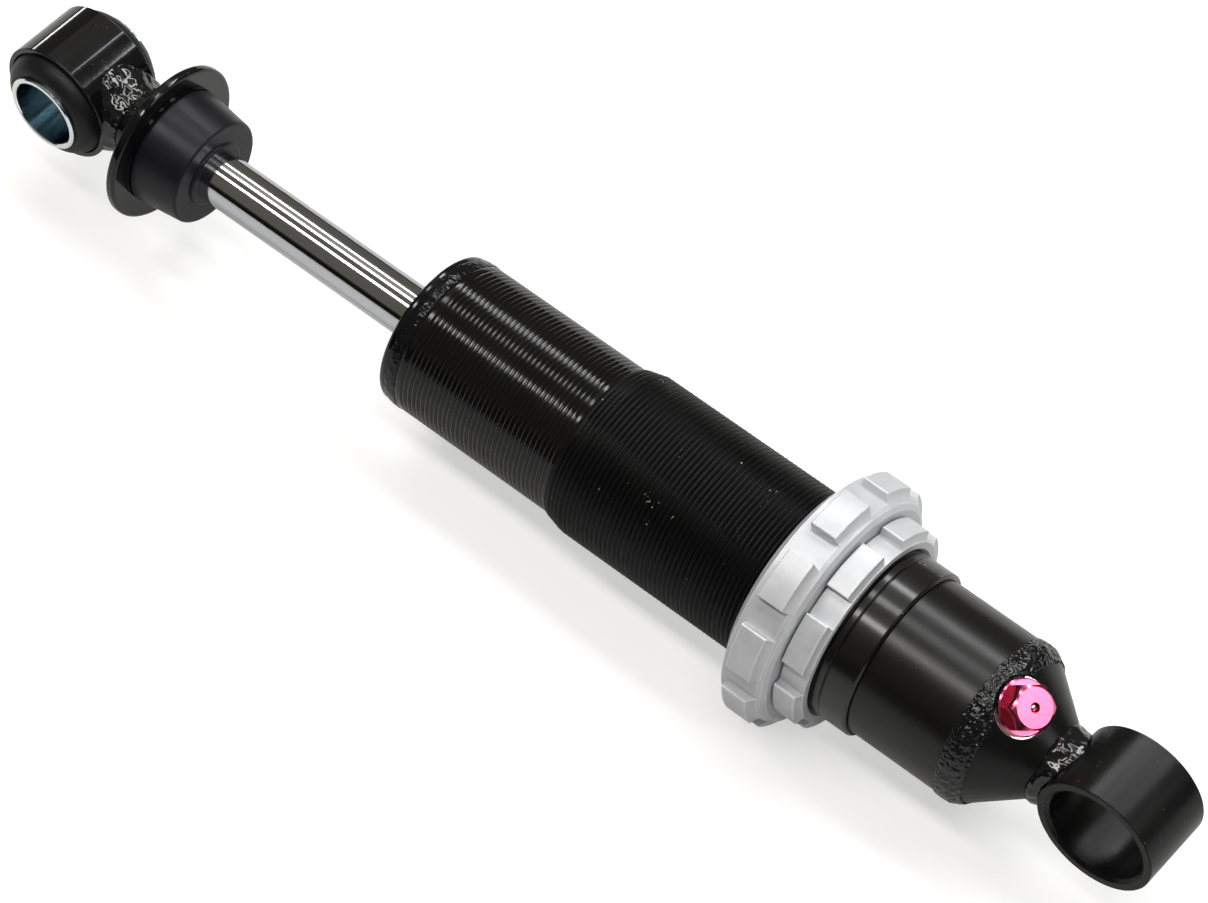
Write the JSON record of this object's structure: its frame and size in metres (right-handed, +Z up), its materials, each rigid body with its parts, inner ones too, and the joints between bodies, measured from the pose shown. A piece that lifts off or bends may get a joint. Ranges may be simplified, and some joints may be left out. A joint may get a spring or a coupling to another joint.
{
  "type": "rear shock absorber",
  "caption": "Gas-charged coil-over shock absorber without its spring: chromed rod, threaded body, castellated preload rings, eye at each end.",
  "frame": {"origin": "centre of the body eye's bore", "axes": "+X along the shock from the rod eye to the body eye, +Y along both eye bores, +Z up"},
  "size_m": [0.3282, 0.0616, 0.0618],
  "materials": {
    "gloss_black": "gloss black paint",
    "weld_black": "gloss black paint over rough weld metal",
    "satin_black": "satin black paint over fine turned grooves",
    "thread_black": "satin black coated thread",
    "hard_chrome": "polished hard chrome",
    "zinc_steel": "bright zinc plate",
    "bush_rubber": "matt moulded rubber",
    "bump_rubber": "satin moulded rubber",
    "cast_grey": "light grey satin coated casting",
    "red_anodised": "pink-red anodised, bright turned face",
    "bright_ball": "polished steel",
    "turned_aluminium": "turned",
    "bearing_bronze": "plain bearing lining",
    "seal_rubber": "nitrile rubber",
    "band_plastic": "filled PTFE",
    "inner_steel": "ground spring steel"
  },
  "bodies": {
    "shock_body": {"body_tube": "satin_black", "thread_sleeve": "thread_black", "top_cap": "gloss_black", "top_cap_weld": "weld_black", "rod_wiper": "seal_rubber", "rod_guide": "turned_aluminium", "guide_bush": "bearing_bronze", "rod_seal": "seal_rubber", "guide_o_ring": "seal_rubber", "guide_circlip": "inner_steel", "topout_bumper": "seal_rubber", "end_cone": "gloss_black", "cone_weld": "weld_black", "body_eye_weld": "weld_black", "body_eye": "gloss_black", "gas_valve_screw": "red_anodised", "valve_ball": "bright_ball", "valve_o_ring": "seal_rubber"},
    "rod": {"piston_rod": "hard_chrome", "rod_eye": "gloss_black", "rod_eye_neck": "gloss_black", "rod_eye_weld": "weld_black", "rod_eye_bush": "bush_rubber", "bump_flange": "gloss_black", "bump_stop": "bump_rubber", "topout_washer": "inner_steel", "compression_shims": "inner_steel", "piston": "turned_aluminium", "piston_band": "band_plastic", "rebound_shims": "inner_steel", "piston_backup_washer": "inner_steel", "piston_nut": "inner_steel"},
    "floating_piston": {"floating_piston": "turned_aluminium", "floating_piston_o_ring": "seal_rubber", "floating_piston_band": "band_plastic"},
    "preload_ring": {"preload_ring": "cast_grey"},
    "lock_ring": {"lock_ring": "cast_grey"},
    "eye_sleeve": {"rod_eye_sleeve": "zinc_steel"}
  },
  "joints": [
    {"name": "rod_slide", "type": "slide", "parent": "shock_body", "child": "rod", "axis": [1, 0, 0], "range_m": [0, 0.065], "stiffness_N_per_m": 1260, "springref_m": -0.139},
    {"name": "floating_piston_slide", "type": "slide", "parent": "shock_body", "child": "floating_piston", "axis": [1, 0, 0], "range_m": [0, 0.0103]},
    {"name": "preload_ring_slide", "type": "slide", "parent": "shock_body", "child": "preload_ring", "axis": [1, 0, 0], "range_m": [-0.05, 0]},
    {"name": "lock_ring_slide", "type": "slide", "parent": "shock_body", "child": "lock_ring", "axis": [1, 0, 0], "range_m": [-0.05, 0]},
    {"name": "eye_sleeve_twist", "type": "hinge", "parent": "rod", "child": "eye_sleeve", "pos_m": [-0.29845, 0, 0], "axis": [0, 1, 0], "range_deg": [-15, 15], "stiffness_Nm_per_rad": 6}
  ],
  "couplings": [
    {"joint": "floating_piston_slide", "follows": "rod_slide", "ratio": 0.15751},
    {"joint": "lock_ring_slide", "follows": "preload_ring_slide", "ratio": 1}
  ]
}
